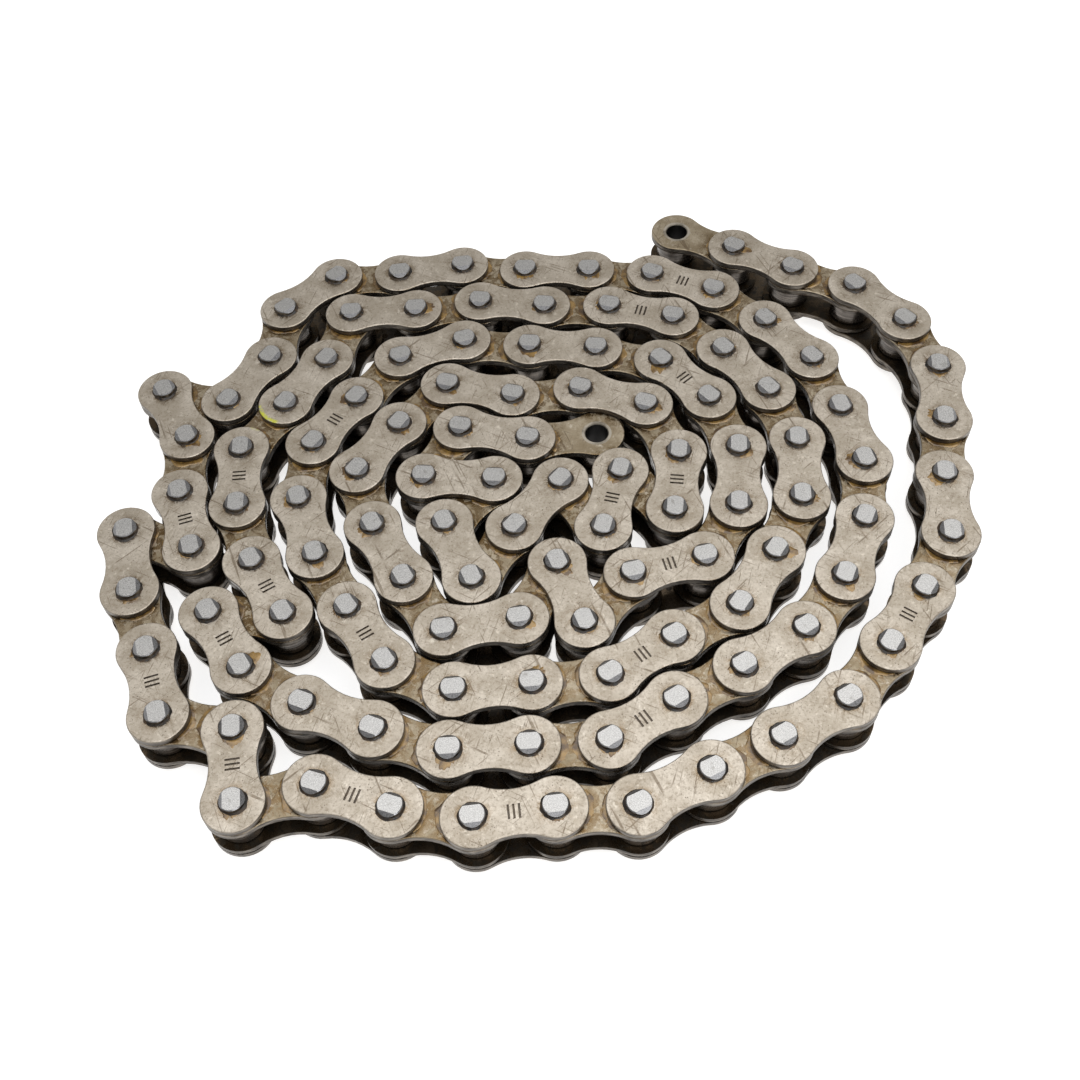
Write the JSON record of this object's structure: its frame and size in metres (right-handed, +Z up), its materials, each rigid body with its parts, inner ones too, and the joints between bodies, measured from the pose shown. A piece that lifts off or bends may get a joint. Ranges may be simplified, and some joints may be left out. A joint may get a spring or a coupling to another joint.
{
  "type": "roller drive chain",
  "caption": "Roller drive chain in a loose flat coil, with waisted plates, riveted pins and free rollers; both ends are open inner links.",
  "frame": {"origin": "on the surface the chain lies on, under the middle of the coil's bounding box", "axes": "+Z up, along every pin; +X along the coil's longest side, with the outer free end towards +Y and the free strand at +X"},
  "size_m": [0.1588, 0.1358, 0.012],
  "materials": {
    "outer_plate_steel": "satin nickel-coloured plate steel with fine scratches, dark grey at the sheared edge",
    "inner_plate_steel": "the same plate steel under a golden oil film",
    "bush_steel": "fine-turned, dark and oily inside",
    "roller_steel": "dark, smooth and oily",
    "pin_steel": "bright face-ground pin ends with darker staked flats"
  },
  "bodies": {
    "coil": {"coil_upper_inner_plates": "inner_plate_steel", "coil_lower_inner_plates": "inner_plate_steel", "coil_upper_outer_plates": "outer_plate_steel", "coil_lower_outer_plates": "outer_plate_steel", "coil_bushes": "bush_steel", "coil_rollers": "roller_steel", "coil_pins": "pin_steel", "end_link_inner_plates": "inner_plate_steel", "end_link_bushes": "bush_steel"},
    "link_01": {"link_01_inner_plates": "inner_plate_steel", "link_01_bushes": "bush_steel"},
    "link_01_roller_a": {"link_01_roller_a": "roller_steel"},
    "link_01_roller_b": {"link_01_roller_b": "roller_steel"},
    "link_02": {"link_02_outer_plates": "outer_plate_steel", "link_02_pins": "pin_steel"},
    "link_03": {"link_03_inner_plates": "inner_plate_steel", "link_03_bushes": "bush_steel"},
    "link_03_roller_a": {"link_03_roller_a": "roller_steel"},
    "link_03_roller_b": {"link_03_roller_b": "roller_steel"},
    "link_04": {"link_04_outer_plates": "outer_plate_steel", "link_04_pins": "pin_steel"},
    "link_05": {"link_05_inner_plates": "inner_plate_steel", "link_05_bushes": "bush_steel"},
    "link_05_roller_a": {"link_05_roller_a": "roller_steel"},
    "link_05_roller_b": {"link_05_roller_b": "roller_steel"},
    "link_06": {"link_06_outer_plates": "outer_plate_steel", "link_06_pins": "pin_steel"},
    "link_07": {"link_07_inner_plates": "inner_plate_steel", "link_07_bushes": "bush_steel"},
    "link_07_roller_a": {"link_07_roller_a": "roller_steel"},
    "link_07_roller_b": {"link_07_roller_b": "roller_steel"},
    "link_08": {"link_08_outer_plates": "outer_plate_steel", "link_08_pins": "pin_steel"},
    "link_09": {"link_09_inner_plates": "inner_plate_steel", "link_09_bushes": "bush_steel"},
    "link_09_roller_a": {"link_09_roller_a": "roller_steel"},
    "link_09_roller_b": {"link_09_roller_b": "roller_steel"},
    "link_10": {"link_10_outer_plates": "outer_plate_steel", "link_10_pins": "pin_steel"},
    "link_11": {"link_11_inner_plates": "inner_plate_steel", "link_11_bushes": "bush_steel"},
    "link_11_roller_a": {"link_11_roller_a": "roller_steel"},
    "link_11_roller_b": {"link_11_roller_b": "roller_steel"},
    "link_12": {"link_12_outer_plates": "outer_plate_steel", "link_12_pins": "pin_steel"},
    "link_13": {"link_13_inner_plates": "inner_plate_steel", "link_13_bushes": "bush_steel"},
    "link_13_roller_a": {"link_13_roller_a": "roller_steel"},
    "link_13_roller_b": {"link_13_roller_b": "roller_steel"},
    "link_14": {"link_14_outer_plates": "outer_plate_steel", "link_14_pins": "pin_steel"},
    "link_15": {"link_15_inner_plates": "inner_plate_steel", "link_15_bushes": "bush_steel"},
    "link_15_roller_a": {"link_15_roller_a": "roller_steel"},
    "link_15_roller_b": {"link_15_roller_b": "roller_steel"},
    "link_16": {"link_16_outer_plates": "outer_plate_steel", "link_16_pins": "pin_steel"},
    "end_link_roller_a": {"end_link_roller_a": "roller_steel"},
    "end_link_roller_b": {"end_link_roller_b": "roller_steel"}
  },
  "joints": [
    {"name": "link_16_hinge", "type": "hinge", "parent": "coil", "child": "link_16", "pos_m": [-0.01426, -0.06281, 0.00599], "axis": [0, 0, 1], "range_deg": [-60, 0]},
    {"name": "link_15_hinge", "type": "hinge", "parent": "link_16", "child": "link_15", "pos_m": [-0.00159, -0.06193, 0.00599], "axis": [0, 0, -1], "range_deg": [0, 90]},
    {"name": "link_15_roller_a_spin", "type": "hinge", "parent": "link_15", "child": "link_15_roller_a", "pos_m": [0.0111, -0.06237, 0.00599], "axis": [0, 0, 1], "continuous": true},
    {"name": "link_15_roller_b_spin", "type": "hinge", "parent": "link_15", "child": "link_15_roller_b", "pos_m": [-0.00159, -0.06193, 0.00599], "axis": [0, 0, 1], "continuous": true},
    {"name": "link_14_hinge", "type": "hinge", "parent": "link_15", "child": "link_14", "pos_m": [0.0111, -0.06237, 0.00599], "axis": [0, 0, 1], "range_deg": [-60, 0]},
    {"name": "link_13_hinge", "type": "hinge", "parent": "link_14", "child": "link_13", "pos_m": [0.02279, -0.05741, 0.00599], "axis": [0, 0, -1], "range_deg": [0, 60]},
    {"name": "link_13_roller_a_spin", "type": "hinge", "parent": "link_13", "child": "link_13_roller_a", "pos_m": [0.03448, -0.05245, 0.00599], "axis": [0, 0, 1], "continuous": true},
    {"name": "link_13_roller_b_spin", "type": "hinge", "parent": "link_13", "child": "link_13_roller_b", "pos_m": [0.02279, -0.05741, 0.00599], "axis": [0, 0, 1], "continuous": true},
    {"name": "link_12_hinge", "type": "hinge", "parent": "link_13", "child": "link_12", "pos_m": [0.03448, -0.05245, 0.00599], "axis": [0, 0, 1], "range_deg": [-45, 0]},
    {"name": "link_11_hinge", "type": "hinge", "parent": "link_12", "child": "link_11", "pos_m": [0.04569, -0.04648, 0.00599], "axis": [0, 0, -1], "range_deg": [0, 65]},
    {"name": "link_11_roller_a_spin", "type": "hinge", "parent": "link_11", "child": "link_11_roller_a", "pos_m": [0.05419, -0.03705, 0.00599], "axis": [0, 0, 1], "continuous": true},
    {"name": "link_11_roller_b_spin", "type": "hinge", "parent": "link_11", "child": "link_11_roller_b", "pos_m": [0.04569, -0.04648, 0.00599], "axis": [0, 0, 1], "continuous": true},
    {"name": "link_10_hinge", "type": "hinge", "parent": "link_11", "child": "link_10", "pos_m": [0.05419, -0.03705, 0.00599], "axis": [0, 0, 1], "range_deg": [-60, 0]},
    {"name": "link_09_hinge", "type": "hinge", "parent": "link_10", "child": "link_09", "pos_m": [0.06184, -0.0269, 0.00599], "axis": [0, 0, -1], "range_deg": [0, 70]},
    {"name": "link_09_roller_a_spin", "type": "hinge", "parent": "link_09", "child": "link_09_roller_a", "pos_m": [0.06857, -0.01613, 0.00599], "axis": [0, 0, 1], "continuous": true},
    {"name": "link_09_roller_b_spin", "type": "hinge", "parent": "link_09", "child": "link_09_roller_b", "pos_m": [0.06184, -0.0269, 0.00599], "axis": [0, 0, 1], "continuous": true},
    {"name": "link_08_hinge", "type": "hinge", "parent": "link_09", "child": "link_08", "pos_m": [0.06857, -0.01613, 0.00599], "axis": [0, 0, 1], "range_deg": [-60, 0]},
    {"name": "link_07_hinge", "type": "hinge", "parent": "link_08", "child": "link_07", "pos_m": [0.07011, -0.00353, 0.00599], "axis": [0, 0, -1], "range_deg": [0, 80]},
    {"name": "link_07_roller_a_spin", "type": "hinge", "parent": "link_07", "child": "link_07_roller_a", "pos_m": [0.07275, 0.0089, 0.00599], "axis": [0, 0, 1], "continuous": true},
    {"name": "link_07_roller_b_spin", "type": "hinge", "parent": "link_07", "child": "link_07_roller_b", "pos_m": [0.07011, -0.00353, 0.00599], "axis": [0, 0, 1], "continuous": true},
    {"name": "link_06_hinge", "type": "hinge", "parent": "link_07", "child": "link_06", "pos_m": [0.07275, 0.0089, 0.00599], "axis": [0, 0, 1], "range_deg": [-60, 0]},
    {"name": "link_05_hinge", "type": "hinge", "parent": "link_06", "child": "link_05", "pos_m": [0.0743, 0.0215, 0.00599], "axis": [0, 0, -1], "range_deg": [0, 105]},
    {"name": "link_05_roller_a_spin", "type": "hinge", "parent": "link_05", "child": "link_05_roller_a", "pos_m": [0.07038, 0.03358, 0.00599], "axis": [0, 0, 1], "continuous": true},
    {"name": "link_05_roller_b_spin", "type": "hinge", "parent": "link_05", "child": "link_05_roller_b", "pos_m": [0.0743, 0.0215, 0.00599], "axis": [0, 0, 1], "continuous": true},
    {"name": "link_04_hinge", "type": "hinge", "parent": "link_05", "child": "link_04", "pos_m": [0.07038, 0.03358, 0.00599], "axis": [0, 0, 1], "range_deg": [-60, 0]},
    {"name": "link_03_hinge", "type": "hinge", "parent": "link_04", "child": "link_03", "pos_m": [0.06256, 0.04359, 0.00599], "axis": [0, 0, -1], "range_deg": [-5, 120]},
    {"name": "link_03_roller_a_spin", "type": "hinge", "parent": "link_03", "child": "link_03_roller_a", "pos_m": [0.05124, 0.04935, 0.00599], "axis": [0, 0, 1], "continuous": true},
    {"name": "link_03_roller_b_spin", "type": "hinge", "parent": "link_03", "child": "link_03_roller_b", "pos_m": [0.06256, 0.04359, 0.00599], "axis": [0, 0, 1], "continuous": true},
    {"name": "link_02_hinge", "type": "hinge", "parent": "link_03", "child": "link_02", "pos_m": [0.05124, 0.04935, 0.00599], "axis": [0, 0, 1], "range_deg": [-65, 5]},
    {"name": "link_01_hinge", "type": "hinge", "parent": "link_02", "child": "link_01", "pos_m": [0.04047, 0.05608, 0.00599], "axis": [0, 0, -1], "range_deg": [-10, 115]},
    {"name": "link_01_roller_a_spin", "type": "hinge", "parent": "link_01", "child": "link_01_roller_a", "pos_m": [0.0297, 0.06281, 0.00599], "axis": [0, 0, 1], "continuous": true},
    {"name": "link_01_roller_b_spin", "type": "hinge", "parent": "link_01", "child": "link_01_roller_b", "pos_m": [0.04047, 0.05608, 0.00599], "axis": [0, 0, 1], "continuous": true},
    {"name": "end_link_roller_a_spin", "type": "hinge", "parent": "coil", "child": "end_link_roller_a", "pos_m": [-0.00293, 0.0101, 0.00599], "axis": [0, 0, 1], "continuous": true},
    {"name": "end_link_roller_b_spin", "type": "hinge", "parent": "coil", "child": "end_link_roller_b", "pos_m": [0.00972, 0.01121, 0.00599], "axis": [0, 0, 1], "continuous": true}
  ]
}
